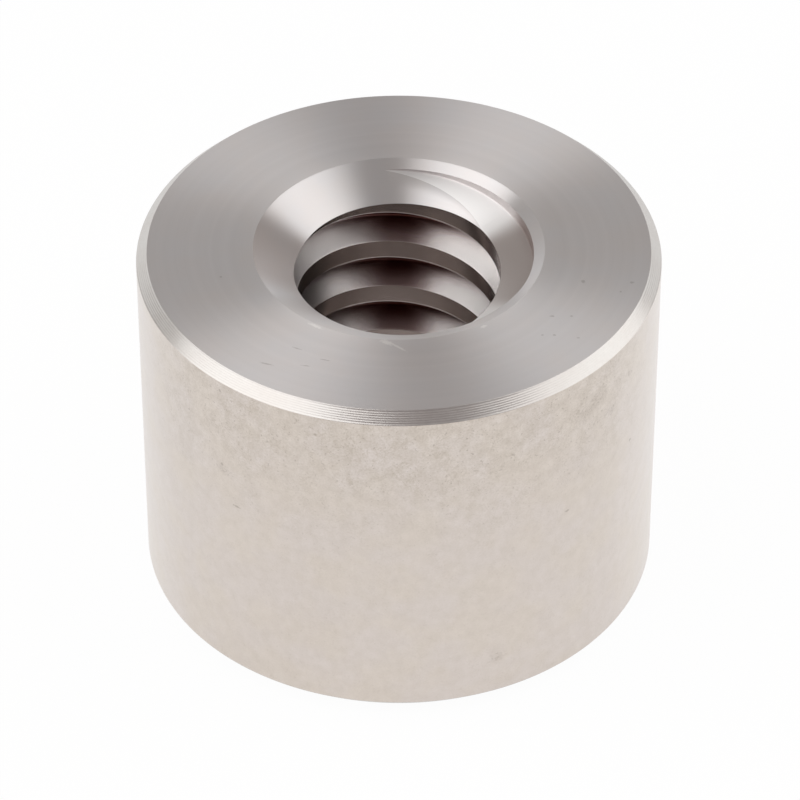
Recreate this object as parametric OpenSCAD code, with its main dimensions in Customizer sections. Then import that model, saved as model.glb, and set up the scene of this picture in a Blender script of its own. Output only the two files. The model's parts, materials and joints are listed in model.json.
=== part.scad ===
// Cylindrical lead screw nut, turned from one steel bar, with a right-hand trapezoidal thread.
// The axis is Z, the nut stands on its lower face at z = 0, and all sizes are in millimetres.

/* [Body] */
// Outside diameter
body_d = 36; // [30:0.5:60]
// Length along the axis
body_l = 27; // [16:0.5:60]
// Width of the 45 degree bevel round the upper rim
upper_bevel = 0.75; // [0.2:0.05:2]
// Width of the 45 degree bevel round the lower rim
lower_bevel = 1.1; // [0.2:0.05:2]

/* [Thread] */
// Nominal diameter of the screw that runs in the nut
screw_d = 18; // [12:0.5:22]
// Travel along the axis for one turn
pitch = 4; // [2:0.5:5]
// Angle between the two flanks of a groove
flank_angle = 30; // [20:1:40]
// Gap left between the screw's crest and the root of the groove
root_gap = 0.25; // [0.1:0.05:0.5]
// Direction from the axis in which the groove's middle meets the plane of the lower face
thread_start = 167; // [0:1:359]

/* [Countersinks] */
// How far the rim of each countersink stands outside the screw
mouth_margin = 1; // [0.5:0.1:3]
// Angle between opposite sides of the countersink
mouth_angle = 120; // [90:1:140]

/* [Hidden] */
steel = [0.78, 0.745, 0.72];
round_steps = 96;
thread_steps = 40;

body_r = body_d / 2;
root_r = screw_d / 2 + root_gap;
bore_r = (screw_d - pitch) / 2;
mouth_r = screw_d / 2 + mouth_margin;
mouth_depth = (mouth_r - bore_r) / tan(mouth_angle / 2);

// The groove and the ridge are equally wide halfway up the thread, a quarter pitch outside the bore
mid_r = bore_r + pitch / 4;
groove_inner_r = bore_r - pitch / 8;

// Half the width of the groove at radius r
function groove_half(r) = pitch / 4 + (mid_r - r) * tan(flank_angle / 2);

// The groove's section as [radius, height] pairs, running round it in order
groove_section = [
  [groove_inner_r, -groove_half(groove_inner_r)],
  [root_r, -groove_half(root_r)],
  [root_r, groove_half(root_r)],
  [groove_inner_r, groove_half(groove_inner_r)]
];

// Half of the nut's lengthwise section: bevelled rims outside, a cone at each mouth inside
module body_section() {
  polygon([
    [mouth_r, 0],
    [body_r - lower_bevel, 0],
    [body_r, lower_bevel],
    [body_r, body_l - upper_bevel],
    [body_r - upper_bevel, body_l],
    [mouth_r, body_l],
    [bore_r, body_l - mouth_depth],
    [bore_r, mouth_depth]
  ]);
}

// The groove as a solid, carried up the helix from one pitch below the nut to one pitch above it
module helical_groove() {
  corners = len(groove_section);
  steps = ceil((body_l / pitch + 2) * thread_steps);
  points = [
    for (step = [0:steps], corner = groove_section)
      let (turn = step / thread_steps, bearing = thread_start + 360 * turn)
        [
          corner[0] * cos(bearing),
          corner[0] * sin(bearing),
          corner[1] + pitch * (turn - 1)
        ]
  ];
  sides = [
    for (step = [0:steps - 1], corner = [0:corners - 1])
      let (
        here = step * corners + corner,
        beside = step * corners + (corner + 1) % corners
      )
        each [[here, beside + corners, here + corners], [here, beside, beside + corners]]
  ];
  first_end = [for (corner = [corners - 1:-1:0]) corner];
  last_end = [for (corner = [0:corners - 1]) steps * corners + corner];
  polyhedron(points, concat([first_end], sides, [last_end]));
}

module nut() {
  color(steel)
    difference() {
      rotate_extrude($fn = round_steps) body_section();
      helical_groove();
    }
}

nut();
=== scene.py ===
# %% [markdown]
# # A lead screw nut in turned steel
# A lead screw nut is a short steel cylinder with a coarse thread through it: the screw turns, and the nut
# travels along it. This one is bare metal straight off the lathe, so the picture lives on two things: true
# edges, and the marks that each cutting tool left. We work out the shape as one numpy mesh, and then give
# each turned surface a finish of its own.

# %% Load the frame
import json

import bpy
import numpy as np
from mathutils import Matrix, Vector


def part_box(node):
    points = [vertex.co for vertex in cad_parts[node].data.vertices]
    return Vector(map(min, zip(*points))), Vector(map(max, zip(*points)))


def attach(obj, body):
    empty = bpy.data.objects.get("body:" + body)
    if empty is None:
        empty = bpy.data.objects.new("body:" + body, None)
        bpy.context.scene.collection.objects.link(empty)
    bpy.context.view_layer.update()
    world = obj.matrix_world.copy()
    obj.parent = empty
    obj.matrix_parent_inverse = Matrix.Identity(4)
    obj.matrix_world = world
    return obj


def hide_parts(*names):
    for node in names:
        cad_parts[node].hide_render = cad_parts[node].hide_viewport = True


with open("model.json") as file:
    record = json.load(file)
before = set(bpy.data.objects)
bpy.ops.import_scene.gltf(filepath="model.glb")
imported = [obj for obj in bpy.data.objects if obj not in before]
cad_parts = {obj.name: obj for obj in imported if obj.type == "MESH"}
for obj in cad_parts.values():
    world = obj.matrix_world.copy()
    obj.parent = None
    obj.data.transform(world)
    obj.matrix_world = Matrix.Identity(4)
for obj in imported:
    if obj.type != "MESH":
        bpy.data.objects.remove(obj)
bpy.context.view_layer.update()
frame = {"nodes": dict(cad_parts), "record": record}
print("the frame holds", sorted(frame["nodes"]))

# %% [markdown]
# The packed model gives the outside sizes and the bore. The other sizes are those that a machinist would
# read from the drawing: bevels, thread and countersinks. Millimetres are easier to think in than Blender's
# metres, so everything stays in millimetres until the mesh is made.

# %% Read and name the sizes
MM = 0.001
BODY_R, _, BODY_L = np.array(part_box("nut")[1]) / MM
UPPER_BEVEL = 0.75
LOWER_BEVEL = 1.1
SCREW_R = 9.0
PITCH = 4.0
FLANK_LEAN = np.tan(np.radians(15))
ROOT_GAP = 0.25
THREAD_START = np.radians(167)
MOUTH_MARGIN = 1.0
MOUTH_SLOPE = np.tan(np.radians(60))

bore_r = SCREW_R - PITCH / 2
root_r = SCREW_R + ROOT_GAP
mouth_r = SCREW_R + MOUTH_MARGIN
mouth_depth = (mouth_r - bore_r) / MOUTH_SLOPE
mounts = {mount["name"]: mount for mount in frame["record"]["mounts"]}
print(f"body {2 * BODY_R:.2f} x {BODY_L:.2f} mm, bore radius {bore_r:.2f} mm,",
      f"record says {mounts['screw_thread']['dims']['r_mm']:.2f} mm")

# %% [markdown]
# A lathe turns one flat outline into the whole outside, so the outline is where the care goes. No real edge
# is perfectly sharp: each corner is broken by a few hundredths of a millimetre, and that tiny round is what
# catches a thin line of light. A Bevel modifier could do it, but it would round the thread's fine edges by
# the same amount; with our own arcs each corner gets the radius it deserves.

# %% Round the corners of an outline
def unit(vectors):
    """Each vector divided by its own length."""
    return vectors / np.linalg.norm(vectors, axis=-1, keepdims=True)


def rounded(corners, radii, steps=4, margin=0.04):
    """A chain of straight legs whose inner corners become arcs.

    Each corner is cut back by radius / tan(half its inside angle) along both legs. The spoke from the arc's
    centre to the first cut then turns through 180 degrees minus the inside angle. One more point, a margin
    outside each cut, keeps the shading of the long flats flat. Gives the points, and the leg each is on.
    """
    corners = np.array(corners, float)
    radii = np.array(radii, float)[:, None]
    middle = corners[1:-1]
    back = unit(corners[:-2] - middle)
    ahead = unit(corners[2:] - middle)
    half = np.arccos(np.sum(back * ahead, axis=1, keepdims=True)) / 2
    cut = radii / np.tan(half)
    centre = middle + unit(back + ahead) * radii / np.sin(half)
    spoke = middle + back * cut - centre
    bend = -np.sign(back[:, :1] * ahead[:, 1:] - back[:, 1:] * ahead[:, :1])
    turn = bend * (np.pi - 2 * half) * np.linspace(0, 1, steps)
    arc = centre[:, None] + np.stack([
        spoke[:, :1] * np.cos(turn) - spoke[:, 1:] * np.sin(turn),
        spoke[:, :1] * np.sin(turn) + spoke[:, 1:] * np.cos(turn),
    ], axis=-1)
    before = middle + back * (cut + margin)
    after = middle + ahead * (cut + margin)
    chain = np.concatenate([before[:, None], arc, after[:, None]], axis=1)
    second_half = np.arange(steps + 2) >= (steps + 2) // 2
    leg = np.arange(len(middle))[:, None] + second_half
    points = np.concatenate([corners[:1], chain.reshape(-1, 2), corners[-1:]])
    return points, np.concatenate([[0], leg.ravel(), [len(middle)]])


EDGE_BREAK = 0.05
SOFT_EDGE = 0.12
RIM_INSET = 0.16
rim_drop = RIM_INSET / MOUTH_SLOPE
outline, legs = rounded(
    [
        (mouth_r - RIM_INSET, BODY_L - rim_drop),
        (mouth_r, BODY_L),
        (BODY_R - UPPER_BEVEL, BODY_L),
        (BODY_R, BODY_L - UPPER_BEVEL),
        (BODY_R, LOWER_BEVEL),
        (BODY_R - LOWER_BEVEL, 0),
        (mouth_r, 0),
        (mouth_r - RIM_INSET, rim_drop),
    ],
    [EDGE_BREAK, EDGE_BREAK, EDGE_BREAK, SOFT_EDGE, SOFT_EDGE, EDGE_BREAK],
)
print("outline of", len(outline), "points on", legs.max() + 1, "legs")

# %% [markdown]
# The upper bevel was cut with a coarse feed, and the tool left a row of fine grooves that shine one by one
# where the light slides off. They are wide enough to see, so they belong in the mesh and not in a bump map:
# the bevel's leg of the outline gets a row of shallow scallops.

# %% Cut the turning grooves into the bevel
BEVEL_LEG = 2
BEVEL_GROOVES = 6
GROOVE_DEPTH = 0.010
ROWS_PER_GROOVE = 6


def grooved(points, legs, leg, count, depth, rows):
    """Scallops across one straight leg: along each, from 0 to 1, a point sinks by 4 * depth * s * (1 - s)."""
    inside = np.flatnonzero(legs == leg)
    at = inside[len(inside) // 2]
    start, end = points[at - 1], points[at]
    along = unit(end - start)
    inward = np.array([along[1], -along[0]])
    share = np.linspace(0, 1, count * rows + 1)[1:-1, None]
    across = share * count % 1
    scallops = start + share * (end - start) + inward * 4 * depth * across * (1 - across)
    return np.insert(points, at, scallops, axis=0), np.insert(legs, at, np.full(len(scallops), leg))


outline, legs = grooved(outline, legs, BEVEL_LEG, BEVEL_GROOVES, GROOVE_DEPTH, ROWS_PER_GROOVE)
print("outline with grooves:", len(outline), "points")

# %% [markdown]
# Blender's Spin tool would turn the outline too, but with numpy it is one line: every outline point at every
# bearing, radius times cosine and sine. One column to a degree keeps the rims round even close up.

# %% Turn the outline
COLUMNS = 360
bearing = np.linspace(0, 2 * np.pi, COLUMNS + 1)
COUNTERSINK, FACE, BEVEL, OUTSIDE, THREAD = range(5)
leg_finish = np.array([COUNTERSINK, FACE, BEVEL, OUTSIDE, BEVEL, FACE, COUNTERSINK])


def polar(radius, angle, height):
    """Points in metres: x = radius * cos(angle), y = radius * sin(angle), z = height."""
    radius, angle, height = np.broadcast_arrays(radius, angle, height)
    return MM * np.stack([radius * np.cos(angle), radius * np.sin(angle), height], axis=-1).reshape(-1, 3)


turned_points = polar(outline[:, :1], bearing[:-1], outline[:, 1:])
turned_numbers = np.arange(len(turned_points)).reshape(len(outline), COLUMNS)
turned_numbers = np.column_stack([turned_numbers, turned_numbers[:, 0]])
turned_faces = np.stack([
    turned_numbers[:-1, :-1], turned_numbers[1:, :-1], turned_numbers[1:, 1:], turned_numbers[:-1, 1:],
], axis=-1).reshape(-1, 4)
turned_finish = np.repeat(leg_finish[legs[1:]], COLUMNS)
print("turned outside:", len(turned_faces), "faces")

# %% [markdown]
# A trapezoidal thread has flat flanks that lean 15 degrees each, a narrow flat crest and a flat root. On the
# real nut the tap leaves a small round in the root. It burnished the crest's lower edge, and left the upper
# one sharp. We draw one pitch, from the middle of a root to the next, and repeat it along the axis. Each
# point of this section becomes a rung: a line that climbs round the bore, one pitch to a turn.

# %% Draw the thread's section
ROOT_ROUND = 0.10
CREST_LOWER_ROUND = 0.12
CREST_UPPER_ROUND = 0.03


def groove_half(radius):
    """Half the groove's width: a quarter pitch halfway up the thread, less where the flanks close in."""
    return PITCH / 4 + (bore_r + PITCH / 4 - radius) * FLANK_LEAN


section, _ = rounded(
    [
        (0, root_r),
        (groove_half(root_r), root_r),
        (groove_half(bore_r), bore_r),
        (PITCH - groove_half(bore_r), bore_r),
        (PITCH - groove_half(root_r), root_r),
        (PITCH, root_r),
    ],
    [ROOT_ROUND, CREST_LOWER_ROUND, CREST_UPPER_ROUND, ROOT_ROUND],
)
one_pitch = section[:-1]
turns = np.arange(-2, np.ceil(BODY_L / PITCH) + 2)
rung_w = (turns[:, None] * PITCH + one_pitch[:, 0]).ravel()
rung_r = np.tile(one_pitch[:, 1], len(turns))
print(len(one_pitch), "rungs to a pitch,", len(rung_w), "rungs in all")

# %% [markdown]
# The countersinks cut the thread away at both mouths. A Boolean modifier would leave slivers along that cut,
# so we find it ourselves. At each point the metal starts at whichever is wider, thread or cone. Where the
# wider one changes between two neighbours, the change lies on the straight edge between them, and both
# radii are straight lines along that edge, so the place where they meet is exact.

# %% Find where the countersinks cut the thread
def mouth(height):
    """Radius of the cones: the bore plus the slope times the depth inside the nearer mouth."""
    return bore_r + MOUTH_SLOPE * np.maximum(height - (BODY_L - mouth_depth), mouth_depth - height)


def crossing(near, far):
    """Share of the way at which a straight change from near to far passes zero, and whether it does."""
    crosses = (near >= 0) != (far >= 0)
    return np.where(crosses, near / np.where(crosses, near - far, 1), 0.5), crosses


climb = PITCH / (2 * np.pi) * (bearing - THREAD_START)
height = rung_w[:, None] + climb
gap = mouth(height) - rung_r[:, None]
up_share, up_cut = crossing(gap[:-1, :-1], gap[1:, :-1])
up_height = height[:-1, :-1] + up_share * np.diff(height[:, :-1], axis=0)
round_share, round_cut = crossing(gap[:, :-1], gap[:, 1:])
round_bearing = bearing[:-1] + round_share * np.diff(bearing)
round_height = height[:, :-1] + round_share * np.diff(height, axis=1)
bore_points = np.concatenate([
    polar(np.maximum(rung_r[:, None], mouth(height))[:, :-1], bearing[:-1], height[:, :-1]),
    polar(mouth(up_height), bearing[:-1], up_height),
    polar(mouth(round_height), round_bearing, round_height),
])
print("the cones cross", up_cut.sum(), "upright edges and", round_cut.sum(), "rungs")

# %% [markdown]
# Now each cell between two rungs and two columns becomes one polygon, or two where the cut runs through it.
# We write down all eight places that a cell's border can have, corners and crossings in turn, and keep those
# that belong to the side in hand. Past the rims the corners fold onto the turned outside's own edge, which
# closes the mesh, and the last column is the first one again, a pitch further up.

# %% Make the bore's polygons
def closed(values):
    """Add the closing column: the first column shifted by one pitch of rungs."""
    return np.column_stack([values, np.roll(values[:, 0], -len(one_pitch))])


def tight(rows, keep):
    """Each row's kept numbers moved to its front, in order, and the count of them."""
    order = np.argsort(~keep, axis=1, kind="stable")
    return np.take_along_axis(rows, order, axis=1), keep.sum(axis=1)


def polygons(rows, keep):
    """Rows of vertex numbers with the unkept and the repeated ones taken out, grouped by number of sides."""
    rows, count = tight(rows, keep)
    slots = np.arange(rows.shape[1])
    last = np.take_along_axis(rows, np.maximum(count - 1, 0)[:, None], axis=1)
    previous = np.concatenate([last, rows[:, :-1]], axis=1)
    rows, count = tight(rows, (slots < count[:, None]) & (rows != previous))
    return [rows[count == sides, :sides] for sides in range(3, rows.shape[1] + 1)]


rungs = len(rung_w)
numbers = len(turned_points) + np.arange(len(bore_points))
corner = closed(numbers[:rungs * COLUMNS].reshape(rungs, COLUMNS))
up_number = closed(numbers[rungs * COLUMNS:(2 * rungs - 1) * COLUMNS].reshape(rungs - 1, COLUMNS))
round_number = numbers[(2 * rungs - 1) * COLUMNS:].reshape(rungs, COLUMNS)
up_cut = closed(up_cut)
corner = np.where(height >= BODY_L - rim_drop, turned_numbers[0], corner)
corner = np.where(height <= rim_drop, turned_numbers[-1], corner)


def borders(corners, along_rungs, along_columns):
    """The eight places round each cell: corner, crossing, corner, crossing and so on, seen from the axis."""
    return np.stack([
        corners[:-1, :-1], along_columns[:, :-1], corners[1:, :-1], along_rungs[1:],
        corners[1:, 1:], along_columns[:, 1:], corners[:-1, 1:], along_rungs[:-1],
    ], axis=-1).reshape(-1, 8)


cells = borders(corner, round_number, up_number)
thread_faces = polygons(cells, borders(gap < 0, round_cut, up_cut))
mouth_faces = polygons(cells, borders(gap >= 0, round_cut, up_cut))
print("thread:", sum(map(len, thread_faces)), "faces, countersinks:", sum(map(len, mouth_faces)), "faces")

# %% [markdown]
# All the faces go into one mesh, because the nut is one piece of steel. Each face remembers which tool made
# it, as a material number. Smooth shading with sharp edges above a set angle keeps the rounds soft and the
# cut edges crisp. At the end we count how many faces meet at each edge: two everywhere means that the mesh
# is closed.

# %% Build the mesh
SHARP_ANGLE = np.radians(38)


def build_mesh(name, points, groups, finishes):
    """A mesh from points, groups of polygons and the finish number of each polygon; unused points go."""
    used, packed = np.unique(np.concatenate([group.ravel() for group in groups]), return_inverse=True)
    ends = np.cumsum([group.size for group in groups])[:-1]
    renumbered = [part.reshape(group.shape) for part, group in zip(np.split(packed, ends), groups)]
    mesh = bpy.data.meshes.new(name)
    mesh.from_pydata(points[used], [], [face for group in renumbered for face in group.tolist()])
    mesh.polygons.foreach_set("material_index", finishes)
    mesh.shade_smooth()
    mesh.set_sharp_from_angle(angle=SHARP_ANGLE)
    return mesh


face_groups = [turned_faces] + thread_faces + mouth_faces
face_finish = np.concatenate(
    [turned_finish]
    + [np.full(len(group), THREAD) for group in thread_faces]
    + [np.full(len(group), COUNTERSINK) for group in mouth_faces]
)
nut_mesh = build_mesh("turned_nut", np.concatenate([turned_points, bore_points]), face_groups, face_finish)
nut = bpy.data.objects.new("turned_nut", nut_mesh)
bpy.context.scene.collection.objects.link(nut)
edge_of_loop = np.zeros(len(nut_mesh.loops), np.int32)
nut_mesh.loops.foreach_get("edge_index", edge_of_loop)
faces_at_edge = np.bincount(edge_of_loop, minlength=len(nut_mesh.edges))
triangles = len(nut_mesh.loops) - 2 * len(nut_mesh.polygons)
print(triangles, "triangles, edges that are not closed:", np.count_nonzero(faces_at_edge != 2))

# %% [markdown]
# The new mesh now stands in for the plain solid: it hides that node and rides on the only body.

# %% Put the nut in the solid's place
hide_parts("nut")
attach(nut, "root")
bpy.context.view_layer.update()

# %% [markdown]
# Finishes are node trees, and a formula reads better than a web of nodes. A small class wraps a socket so
# that Python's own operators add the Math nodes. One more method adds any other node.

# %% A socket that does arithmetic
class Wire:
    """A shader socket for use in Python expressions: each operator adds a Math node behind it."""

    def __init__(self, tree, socket=None):
        self.tree = tree
        self.socket = socket

    def node(self, kind, settings=None, sockets=None, output=0):
        """Add a node: its settings are set first, then its sockets get their values or links."""
        node = self.tree.nodes.new(kind)
        for name, value in (settings or {}).items():
            setattr(node, name, value)
        for name, value in (sockets or {}).items():
            if isinstance(value, Wire):
                self.tree.links.new(value.socket, node.inputs[name])
            else:
                node.inputs[name].default_value = value
        return Wire(self.tree, node.outputs[output])

    def other(self, output):
        """Another output of the same node."""
        return Wire(self.tree, self.socket.node.outputs[output])

    def math(self, operation, *values):
        """A Math node on the given numbers and wires."""
        return self.node("ShaderNodeMath", {"operation": operation}, dict(enumerate(values)))

    def __add__(self, value):
        return self.math("ADD", self, value)

    def __sub__(self, value):
        return self.math("SUBTRACT", self, value)

    def __rsub__(self, value):
        return self.math("SUBTRACT", value, self)

    def __mul__(self, value):
        return self.math("MULTIPLY", self, value)

    def __truediv__(self, value):
        return self.math("DIVIDE", self, value)

    def __pow__(self, value):
        return self.math("POWER", self, value)

    def __abs__(self):
        return self.math("ABSOLUTE", self)

    __radd__ = __add__
    __rmul__ = __mul__

    def fade(self, start, end):
        """A smooth step: 0 up to start, 1 from end on."""
        return self.node(
            "ShaderNodeMapRange", {"interpolation_type": "SMOOTHSTEP"},
            {"Value": self, "From Min": start, "From Max": end},
        )

    def blend(self, colour_a, colour_b):
        """Colour a where this wire is 0, colour b where it is 1."""
        sockets = {0: self, 6: colour_a, 7: colour_b}
        return self.node("ShaderNodeMix", {"data_type": "RGBA"}, sockets, output=2)

    def times(self, factor):
        """A colour or vector made longer or shorter by a factor."""
        return self.node("ShaderNodeVectorMath", {"operation": "SCALE"}, {0: self, "Scale": factor})


print("Wire knows", len([name for name in vars(Wire) if not name.startswith("_")]), "methods of its own")

# %% [markdown]
# Every finish needs to know where it is on the nut. Object coordinates come in metres and stay with the
# piece, so we scale them to millimetres and take the radius from the axis. Two kinds of noise do the rest:
# a cloudy one in space for stains and grain, and one that depends on a single number, which draws rings
# when that number is the radius.

# %% Places and noise on the nut
def place(start):
    """Position in millimetres, its height, and its distance from the axis."""
    spot = start.node("ShaderNodeTexCoord", output="Object").times(1 / MM)
    x = start.node("ShaderNodeSeparateXYZ", None, {"Vector": spot}, "X")
    y, z = x.other("Y"), x.other("Z")
    return spot, z, (x * x + y * y) ** 0.5


def cloud(spot, size, detail=2.0, seed=0.0, distortion=0.0):
    """Noise in space whose patches measure about size millimetres; distortion twists them."""
    return spot.node(
        "ShaderNodeTexNoise", {"noise_dimensions": "4D"},
        {"Vector": spot, "W": seed, "Scale": 1 / size, "Detail": detail, "Distortion": distortion},
    )


def rings(along, size, detail=2.0, seed=0.0):
    """Noise along one number: with the radius it draws rings about size millimetres wide."""
    return along.node(
        "ShaderNodeTexNoise", {"noise_dimensions": "1D"},
        {"W": along + seed, "Scale": 1 / size, "Detail": detail},
    )


def relief(height, distance):
    """A normal bent by a height between 0 and 1 that stands for distance millimetres."""
    return height.node("ShaderNodeBump", None, {"Height": height, "Distance": distance * MM})


def new_finish(name, **constants):
    """A bare metal: numbers that hold all over go straight onto the shader's own sockets."""
    material = bpy.data.materials.new(name)
    material.use_nodes = True
    shader = material.node_tree.nodes["Principled BSDF"]
    for socket, value in dict(constants, Metallic=1.0).items():
        shader.inputs[socket].default_value = value
    return material, shader, Wire(material.node_tree)


def feed(shader, **wires):
    """Link each wire to the shader socket of that name, with _ for a space."""
    for name, wire in wires.items():
        wire.tree.links.new(wire.socket, shader.inputs[name.replace("_", " ")])


print("helpers ready: place, cloud, rings, relief, new_finish, feed")

# %% [markdown]
# Handling has left small dark marks on the face, and nicks at the lip of the countersink whose glint is
# painted in as a bright colour. They could be painted as a picture, or cut into the mesh. Ovals are lighter:
# a
# Mapping node moves each mark's middle to the origin and stretches its axes, so that the mark is the place
# where the length of the vector is under 1.
# A smooth step softens its border. Here and below, a pair named edges holds the step's start and end.

# %% Small marks
MARK_DARK = (0.200, 0.165, 0.150, 1)
# The nicks' bright colour is a painted glint.
NICK_GLINT = (0.900, 0.880, 0.850, 1)
MARK_STRENGTH, NICK_GLINT_STRENGTH = 0.3, 0.45
MARK_REACH = 0.5
OVAL_EDGES = (0.4, 1.2)
FACE_MARKS = [
    (-8.8, -12.5, 0.50, 0.09, -20),
    (-6.8, -10.9, 0.35, 0.07, -25),
    (-12.1, -3.3, 0.09, 0.09, 0),
    (15.8, -3.9, 0.16, 0.14, 0),
    (12.5, -3.8, 0.15, 0.20, 0),
    (15.0, -4.9, 0.09, 0.09, 0),
    (10.3, -7.5, 0.18, 0.10, 0),
    (11.6, -7.5, 0.12, 0.08, 0),
    (10.4, -9.5, 0.12, 0.12, 0),
    (9.6, -9.5, 0.10, 0.08, 0),
    (12.0, -9.8, 0.12, 0.08, 0),
    (-4.9, -12.1, 0.40, 0.06, -15),
    (-6.2, -12.7, 0.35, 0.06, -10),
]
FACE_NICKS = [
    (-0.80, -10.28, 0.50, 0.24, -30),
    (-0.05, -10.75, 0.80, 0.10, -40),
    (-5.60, -8.55, 0.60, 0.14, -33),
    (5.70, -8.60, 0.28, 0.14, 34),
]


def marks(spot, places, ragged):
    """A mask of small ovals: it falls from 1 to 0 as the distance in each one's stretched axes passes 1.

    Each place is a middle, a turn about Z in degrees, and half sizes along the three turned axes. The ragged
    noise is added to the distance, so that no outline stays a clean oval.
    """
    mask = None
    for middle, degrees, half_sizes in places:
        local = spot.node("ShaderNodeMapping", {"vector_type": "TEXTURE"}, {
            "Vector": spot, "Location": middle, "Rotation": (0, 0, np.radians(degrees)), "Scale": half_sizes,
        })
        length = local.node("ShaderNodeVectorMath", {"operation": "LENGTH"}, {0: local}, "Value")
        oval = 1 - (length + ragged).fade(*OVAL_EDGES)
        mask = oval if mask is None else mask.math("MAXIMUM", mask, oval)
    return mask


def on_face(places):
    """Places on the upper face, each written as x, y, half length, half width and turn."""
    return [((x, y, BODY_L), turn, (long, wide, MARK_REACH)) for x, y, long, wide, turn in places]


print(len(FACE_MARKS), "marks and", len(FACE_NICKS), "nicks on the face")

# %% [markdown]
# Both ends were faced: the tool ran straight across while the bar turned, and left rings too fine to see one
# by one. Such a surface spreads light across the rings and hardly along them, which draws bright fans that
# stay under the lamps. That is what the shader's anisotropy is for. Its default tangent runs round the Z
# axis, so a quarter turn points the wide side of the highlight outwards. A few wider rings, and those small
# marks, keep the face from looking computed.

# %% The faced ends
STEEL_WARM = (0.632, 0.602, 0.592, 1)
STEEL_COOL = (0.622, 0.605, 0.606, 1)
STAIN_EDGES = (0.3, 0.7)
QUARTER_TURN = 0.25
FACE_SPREAD = 0.88
FACE_ROUGHNESS = 0.47
FACE_RELIEF = 0.0003


def ringed_finish(name, spread):
    """A metal cut in rings: its highlight is spread outwards, across them."""
    return new_finish(name, **{"Anisotropic": spread, "Anisotropic Rotation": QUARTER_TURN})


def faced_end():
    """Steel faced on the lathe: fine rings, a wide highlight across them, dark marks, and nicks with a
    painted glint.
    """
    material, shader, start = ringed_finish("faced end", FACE_SPREAD)
    spot, _, radius = place(start)
    fine = rings(radius, 0.12, detail=3)
    broad = rings(radius, 1.1, seed=7)
    stain = cloud(spot, 4.0, detail=3, seed=2)
    ragged = 1.5 * (cloud(spot, 0.15, seed=3) - 0.5)
    colour = stain.fade(*STAIN_EDGES).blend(STEEL_COOL, STEEL_WARM)
    colour = colour.times(0.98 + 0.08 * broad)
    colour = (marks(spot, on_face(FACE_MARKS), ragged) * MARK_STRENGTH).blend(colour, MARK_DARK)
    # Painted glint: the nicks get a bright colour.
    colour = (marks(spot, on_face(FACE_NICKS), ragged) * NICK_GLINT_STRENGTH).blend(colour, NICK_GLINT)
    roughness = FACE_ROUGHNESS + 0.06 * fine + 0.05 * stain
    feed(shader, Base_Color=colour, Roughness=roughness, Normal=relief(fine + 2.0 * broad, FACE_RELIEF))
    return material


faced = faced_end()
print(faced.name, "has", len(faced.node_tree.nodes), "nodes")

# %% [markdown]
# The bevels and the countersinks were turned too, with tools that leave a closer, brighter surface. The
# upper bevel's grooves are already in the mesh, so its finish only needs the highlight, a little stain and a
# fine grit. The countersink has faint rings. It is worn in front, and on its left a thin brown is painted
# in as shade. The position alone tells where: its Y for the wear, and the cosine of its bearing, X over the
# radius, for the painted shade.

# %% The bevels and the countersinks
# Both bevel colours sit a little below the faced steel's: that darkening is painted shade for the upper
# bevel's grooves.
BEVEL_WARM = (0.560, 0.532, 0.508, 1)
BEVEL_PALE = (0.590, 0.572, 0.550, 1)
# A thin brown for painted shade, on the countersink's left and at the thread's mouth.
THIN_SHADE_BROWN = (0.190, 0.110, 0.078, 1)
BEVEL_SPREAD, CUT_SPREAD = 0.3, 0.9
BEVEL_ROUGHNESS = 0.24
CONE_ROUGHNESS, WEAR_ROUGHNESS = 0.28, 0.16
CONE_RELIEF = 0.0004
CONE_SHADE = 0.35
CONE_SHADE_EDGES = (-0.98, -0.86)
WEAR_EDGES = (-8.0, -4.5)


def turned_bevel():
    """Steel cut with a coarse feed: bright, with the highlight spread a little across the grooves."""
    material, shader, start = ringed_finish("turned bevel", BEVEL_SPREAD)
    spot, _, _ = place(start)
    stain = cloud(spot, 2.5, detail=3, seed=5)
    grit = cloud(spot, 0.25, seed=15)
    # The bevel's colour is set a little dark, as painted shade for its grooves.
    colour = stain.fade(*STAIN_EDGES).blend(BEVEL_WARM, BEVEL_PALE).times(0.94 + 0.12 * grit)
    feed(shader, Base_Color=colour, Roughness=BEVEL_ROUGHNESS + 0.06 * stain + 0.06 * grit)
    return material


def turned_countersink():
    """Steel cut by a countersink: faint rings, rougher in front, painted shade where x nears minus the
    radius.
    """
    material, shader, start = ringed_finish("turned countersink", CUT_SPREAD)
    spot, z, radius = place(start)
    fine = rings(radius, 0.15, detail=2, seed=11)
    stain = cloud(spot, 3.0, detail=3, seed=8)
    colour = stain.fade(*STAIN_EDGES).blend(STEEL_COOL, STEEL_WARM)
    # Painted shade: a thin brown on the left, where the bearing's cosine nears minus one.
    left = 1 - (z.other("X") / radius).fade(*CONE_SHADE_EDGES)
    colour = (left * CONE_SHADE).blend(colour, THIN_SHADE_BROWN)
    worn = 1 - z.other("Y").fade(*WEAR_EDGES)
    roughness = CONE_ROUGHNESS + 0.06 * fine + WEAR_ROUGHNESS * worn
    feed(shader, Base_Color=colour, Roughness=roughness, Normal=relief(fine, CONE_RELIEF))
    return material


bevel, countersink = turned_bevel(), turned_countersink()
print(bevel.name, "and", countersink.name, "ready")

# %% [markdown]
# The outside is the bar's own ground skin: matt, pale and a little uneven. Warm and cool tints a few
# millimetres across drift into each other. Below the upper rim, in front and behind, the skin is mottled with
# darker curls and specks, and it has a few blotches and dots where it was handled. Lower down, and left and
# right, it calms. One noise moves the tints and the border of the mottling, a second makes the mottling
# itself, and a third the grain. The curls are the thin lines along which a twisted noise passes its middle
# value, and the blotches are full of them.

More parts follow.
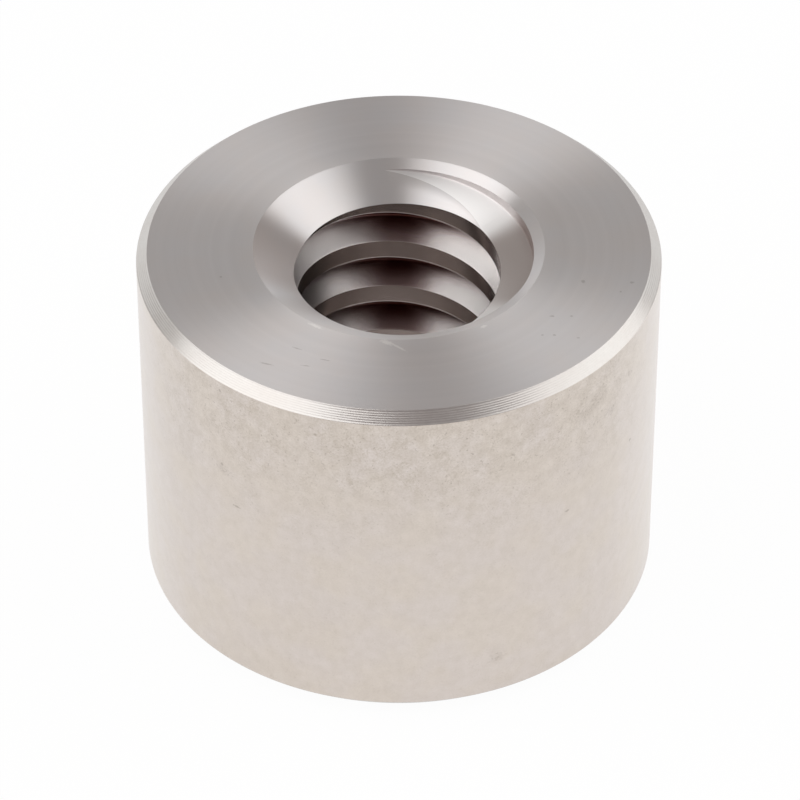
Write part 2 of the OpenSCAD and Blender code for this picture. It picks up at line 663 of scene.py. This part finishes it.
# %% The ground outside
SKIN_WARM = (0.725, 0.655, 0.592, 1)
SKIN_COOL = (0.725, 0.660, 0.620, 1)
SKIN_SHADE = (0.585, 0.518, 0.450, 1)
BLOT_DARK = (0.330, 0.270, 0.220, 1)
SKIN_ROUGHNESS, GLAZE_ROUGHNESS = 0.52, 0.28
SKIN_RELIEF = 0.002
MOTTLED_SIDES = (5.0, 13.0)
MOTTLED_HEIGHTS = (14.0, 25.0)
BORDER_WANDER = 8.0
CURL_WIDTH = 0.05
DOT_STRENGTH = 0.5
SIDE_BLOTS = [
    (-46.5, 22.9, 1.00, 0.80),
    (-42.0, 23.8, 0.90, 1.00),
    (-37.7, 21.6, 0.60, 0.50),
    (-30.0, 23.4, 0.45, 0.50),
    (-68.0, 4.2, 0.60, 0.50),
    (-131.0, 18.6, 0.70, 0.50),
]
SIDE_DOTS = [
    (-28.6, 17.0, 0.22, 0.10),
    (-50.7, 15.2, 0.22, 0.09),
    (-131.4, 25.5, 0.12, 0.13),
    (-131.4, 19.0, 0.16, 0.14),
    (-127.5, 15.9, 0.28, 0.09),
]


def on_side(places):
    """Places on the outside, each written as bearing, height, half length and half height."""
    return [
        (tuple(polar(BODY_R, np.radians(degrees), z)[0] / MM), degrees + 90, (long, MARK_REACH, high))
        for degrees, z, long, high in places
    ]


def ground_outside():
    """Matt ground steel under a thin glaze: drifting tints, and mottling that thins out downwards."""
    material, shader, start = new_finish(
        "ground outside", **{"Coat Weight": 1.0, "Coat Roughness": GLAZE_ROUGHNESS}
    )
    spot, z, _ = place(start)
    broad = abs(z.other("Y")).fade(*MOTTLED_SIDES)
    drift = cloud(spot, 3.0, detail=2, seed=1)
    patch = cloud(spot, 0.7, detail=4, seed=4)
    grain = cloud(spot, 0.14, detail=1, seed=6)
    twist = cloud(spot, 0.6, detail=1, seed=9, distortion=1.5) - 0.5
    lines = 1 - abs(twist).fade(0.0, CURL_WIDTH)
    curls = lines * cloud(spot, 1.8, seed=14).fade(0.42, 0.60)
    specks = cloud(spot, 0.20, detail=2, seed=17).fade(0.63, 0.69)
    upper = (z + BORDER_WANDER * (drift - 0.5)).fade(*MOTTLED_HEIGHTS) * broad
    shade = 0.15 + 0.10 * broad + 0.20 * upper + (0.6 + 1.0 * upper) * (patch - 0.5)
    shade = shade + (0.4 + 1.0 * upper) * (grain - 0.5) + (0.15 + 0.40 * upper) * curls
    ragged = 2.4 * (cloud(spot, 0.25, detail=3, seed=3) - 0.5)
    colour = shade.blend(drift.fade(0.35, 0.65).blend(SKIN_WARM, SKIN_COOL), SKIN_SHADE)
    colour = (specks * (0.10 + 0.35 * upper)).blend(colour, BLOT_DARK)
    blots = marks(spot, on_side(SIDE_BLOTS), ragged) * (0.12 + 0.26 * lines)
    colour = blots.blend(colour, BLOT_DARK)
    colour = (marks(spot, on_side(SIDE_DOTS), ragged) * DOT_STRENGTH).blend(colour, BLOT_DARK)
    roughness = SKIN_ROUGHNESS + 0.10 * (patch - 0.5)
    feed(shader, Base_Color=colour, Roughness=roughness, Normal=relief(grain + 0.5 * patch, SKIN_RELIEF))
    return material


outside = ground_outside()
print(outside.name, "has", len(outside.node_tree.nodes), "nodes")

# %% [markdown]
# Inside the thread each part of the section has its own look. The flanks spread light along the radius, and
# their pale colour is painted light; the crest is the bored hole, and its dark brownish colour is painted
# shade. More shade is painted in dark brown: in the root, more of it deeper down and on the far side of the
# hole, in a streak over the flanks on the far side, and thinner on the right of the mouth. The radius tells
# the crest, flank and root apart, and the distance from the streak's middle line fades it out to both sides.
# The deeper turns are painted a little darker, and so is the thread at the mouth.

# %% The thread
# The flank's pale colour is painted light, and the crest's dark one is painted shade.
FLANK_LIT = (0.940, 0.925, 0.918, 1)
CREST_SHADED = (0.490, 0.413, 0.382, 1)
# Dark brown for painted shade in the root and over the far flanks.
DARK_SHADE_BROWN = (0.190, 0.050, 0.036, 1)
THREAD_ROUGHNESS, MOUTH_ROUGHNESS = 0.19, 0.19
THREAD_RELIEF = 0.0006
CREST_EDGE = 0.03
MOUTH_REACH = 2.0
# Heights over which the painted shade of the deeper turns fades out.
DEEP_SHADE_HEIGHTS = (17.0, 22.5)
FAR_SHADE_EDGES = (0.4, 2.8)
ROOT_SHADE_EDGES = (1.5, 5.0)
FAR_EDGES = (0.0, 3.0)
ROOT_FLOOR_SHADE = 0.22
MOUTH_SHADE, MOUTH_SHADE_EDGES = 0.51, (0.84, 0.94)


def cut_thread():
    """Tapped steel: flanks pale as painted light, crests dark as painted shade, more shade painted in brown.
    """
    material, shader, start = ringed_finish("cut thread", CUT_SPREAD)
    spot, z, radius = place(start)
    fine = rings(radius, 0.10, detail=2, seed=13)
    stain = cloud(spot, 1.8, detail=3, seed=12)
    across = z.other("X")
    aside = abs(across + 1.5 * (stain - 0.5))
    flank = radius.fade(bore_r, bore_r + CREST_EDGE)
    depth = 1 - z.fade(BODY_L - mouth_depth - MOUTH_REACH, BODY_L - mouth_depth)
    far = z.other("Y").fade(*FAR_EDGES) * depth
    # Painted shade: a brown streak over the flanks on the far side of the hole.
    far_shade = (1 - aside.fade(*FAR_SHADE_EDGES)) * far * flank * (0.55 + 0.4 * radius.fade(bore_r + 0.5, root_r))
    # Painted shade in the root, more of it deeper down and towards the far side.
    root_shade_amount = 0.02 + 0.38 * depth + 0.50 * (1 - aside.fade(*ROOT_SHADE_EDGES)) * far
    root = radius.fade(root_r - 0.7, root_r - 0.05) * root_shade_amount
    # Painted shade on the floor of the root, all the way round.
    root_floor_shade = radius.fade(root_r - 0.10, root_r - 0.02) * ROOT_FLOOR_SHADE
    # Painted shade: a thin brown on the right of the mouth.
    mouth_shade = (across / radius).fade(*MOUTH_SHADE_EDGES) * (1 - depth) * MOUTH_SHADE
    painted_shade = root.math("MAXIMUM", root, far_shade.math("MAXIMUM", far_shade, root_floor_shade))
    # Painted shade: the thread is darker below the first turns, and darker again at the mouth, crests most.
    level = 0.89 + 0.11 * z.fade(*DEEP_SHADE_HEIGHTS) - (0.27 - 0.15 * flank) * (1 - depth)
    # Crest and flank colours, as painted shade and painted light.
    colour = mouth_shade.blend(flank.blend(CREST_SHADED, FLANK_LIT).times(level), THIN_SHADE_BROWN)
    # All the brown painted shade goes onto the colour here.
    colour = painted_shade.blend(colour, DARK_SHADE_BROWN)
    roughness = THREAD_ROUGHNESS + MOUTH_ROUGHNESS * flank * (1 - depth) + 0.05 * fine
    feed(shader, Base_Color=colour, Roughness=roughness, Normal=relief(fine, THREAD_RELIEF))
    return material


thread = cut_thread()
finish_of = {COUNTERSINK: countersink, FACE: faced, BEVEL: bevel, OUTSIDE: outside, THREAD: thread}
for number in sorted(finish_of):
    nut_mesh.materials.append(finish_of[number])
print("finishes on the nut:", [material.name for material in nut_mesh.materials])

# %% [markdown]
# Steel has hardly any colour of its own, so it is lit by what it mirrors. Two large softboxes stand left and
# right, above the nut: they draw the fans on the face, the white stretches on the bevel and the light inside
# the thread. A Sun lamp would be simpler, but it is too small a mirror image for steel.

# %% The softboxes
SOFTBOX_DISTANCE = 0.5
SOFTBOXES = {
    "left softbox": (202, 47, 0.60, 1.40),
    "right softbox": (-1, 37, 0.57, 1.12),
}


def softbox(name, azimuth, elevation, size, radiance):
    """A square lamp facing the nut from a bearing and a height in degrees; power = radiance * pi * area."""
    lamp = bpy.data.lights.new(name, "AREA")
    lamp.size = size
    lamp.energy = radiance * np.pi * size ** 2
    azimuth, elevation = np.radians([azimuth, elevation])
    level = np.cos(elevation)
    towards = Vector((level * np.cos(azimuth), level * np.sin(azimuth), np.sin(elevation)))
    holder = bpy.data.objects.new(name, lamp)
    holder.location = towards * SOFTBOX_DISTANCE + Vector((0, 0, BODY_L * MM))
    holder.rotation_euler = towards.to_track_quat("Z", "Y").to_euler()
    holder.visible_camera = False
    bpy.context.scene.collection.objects.link(holder)
    return holder


lamps = [softbox(name, *setting) for name, setting in SOFTBOXES.items()]
print("lamps:", [lamp.name for lamp in lamps])

# %% [markdown]
# A plain grey dome fills the rest, at a level where a colour renders about as it is written. It is paler and
# cooler towards the horizon, and darker and warmer in front. A picture of a real room would serve too; two
# smooth steps, one on the direction's Z and one on its Y, are easier to set.

# %% The dome
HORIZON, OVERHEAD = 1.1, 0.45
HORIZON_TINT = (0.97, 0.985, 1.0, 1)
OVERHEAD_TINT = (1.0, 0.965, 0.94, 1)
FRONT_TINT = (1.0, 0.885, 0.89, 1)
HORIZON_EDGES = (0.02, 0.35)
FRONT_EDGES = (-0.8, -0.2)
BACK_GAIN = 0.32


def dome():
    """A world that dims smoothly from the horizon to overhead, brighter behind the nut, warmer in front."""
    world = bpy.data.worlds.new("dome")
    world.use_nodes = True
    background = world.node_tree.nodes["Background"]
    start = Wire(world.node_tree)
    direction = start.node("ShaderNodeTexCoord", output="Generated")
    up = start.node("ShaderNodeSeparateXYZ", None, {"Vector": direction}, "Z")
    climbed = up.fade(*HORIZON_EDGES)
    level = (HORIZON + (OVERHEAD - HORIZON) * climbed) * (1 + BACK_GAIN * up.other("Y"))
    tint = up.other("Y").fade(*FRONT_EDGES).blend(FRONT_TINT, OVERHEAD_TINT)
    feed(background, Strength=level, Color=climbed.blend(HORIZON_TINT, tint))
    return world


bpy.context.scene.world = dome()
print("the dome goes from", HORIZON, "at the horizon to", OVERHEAD, "overhead")

# %% [markdown]
# The nut stands on a white sheet that is lit from below. Most of its white is a glow that the camera and the
# metal's mirror rays see, so the background comes out white and the nut's side reflects it. The rest is an
# ordinary matt white that keeps a soft shadow at the nut's foot. Inside the hole, and close to the foot as
# the metal mirrors it, the sheet glows a little less, because the nut shades it there. Light from the hole
# comes up to the crests of the thread. The sheet lies a hair lower than the nut, because two faces in one
# plane would flicker, and its underside is clear, so that the lower end can be looked at too.

# %% The white floor
FLOOR_HALF = 4.0
FLOOR_GLOW = 0.96
HOLE_GLOW = 0.74
FOOT_SHADE = 0.86
FOOT_REACH = 9.0
HOLE_MARGIN = 0.5
FLOOR_DROP = 0.05
MATT_WHITE = (0.95, 0.95, 0.95, 1)
GLOW_WHITE = (1, 1, 1, 1)


def white_floor():
    """A flat square just under the nut: part glow and part matt white from above, clear from below."""
    material = bpy.data.materials.new("white sheet")
    material.use_nodes = True
    nodes = material.node_tree.nodes
    nodes.remove(nodes["Principled BSDF"])
    start = Wire(material.node_tree)
    seen = start.node("ShaderNodeLightPath", output="Is Camera Ray")
    mirrored = seen.other("Is Glossy Ray") + seen.other("Is Transmission Ray")
    matt = start.node("ShaderNodeBsdfDiffuse", None, {"Color": MATT_WHITE})
    glow = start.node("ShaderNodeEmission", None, {"Color": GLOW_WHITE, "Strength": 1.0})
    _, _, radius = place(start)
    share = HOLE_GLOW + (FLOOR_GLOW - HOLE_GLOW) * radius.fade(mouth_r, BODY_R - HOLE_MARGIN)
    shaded = FOOT_SHADE + (1 - FOOT_SHADE) * radius.fade(BODY_R, BODY_R + FOOT_REACH)
    factor = share * seen.math("MINIMUM", seen + shaded * mirrored, 1.0)
    paint = start.node("ShaderNodeMixShader", None, {0: factor, 1: matt, 2: glow})
    below = start.node("ShaderNodeNewGeometry", output="Backfacing")
    clear = start.node("ShaderNodeBsdfTransparent")
    sheet = start.node("ShaderNodeMixShader", None, {0: below, 1: paint, 2: clear})
    feed(nodes["Material Output"], Surface=sheet)
    mesh = bpy.data.meshes.new("white_sheet")
    corners = FLOOR_HALF * np.array([(-1, -1, 0), (1, -1, 0), (1, 1, 0), (-1, 1, 0)], float)
    mesh.from_pydata(corners - [0, 0, FLOOR_DROP * MM], [], [(0, 1, 2, 3)])
    mesh.materials.append(material)
    floor = bpy.data.objects.new("white_sheet", mesh)
    bpy.context.scene.collection.objects.link(floor)
    return floor


floor = white_floor()
print("floor spans", 2 * FLOOR_HALF, "m")

# %% [markdown]
# A long lens from a little over a foot away keeps the sides nearly parallel, as product pictures do. The
# camera looks down at about forty degrees, low enough to show the side and high enough to see into the bore.

# %% The camera
LENS = 216.5
ELEVATION = np.radians(40.33)
DISTANCE = 0.3381
AIM = Vector((0.075, 0, 13.23)) * MM
NEAREST = 0.01

camera_data = bpy.data.cameras.new("camera")
camera_data.lens = LENS
camera_data.clip_start = NEAREST
camera = bpy.data.objects.new("camera", camera_data)
camera.location = AIM + DISTANCE * Vector((0, -np.cos(ELEVATION), np.sin(ELEVATION)))
camera.rotation_euler = (np.pi / 2 - ELEVATION, 0, 0)
bpy.context.scene.collection.objects.link(camera)
bpy.context.scene.camera = camera
bpy.context.scene.view_settings.view_transform = "Standard"
print("camera at", [round(value, 4) for value in camera.location])

# %% [markdown]
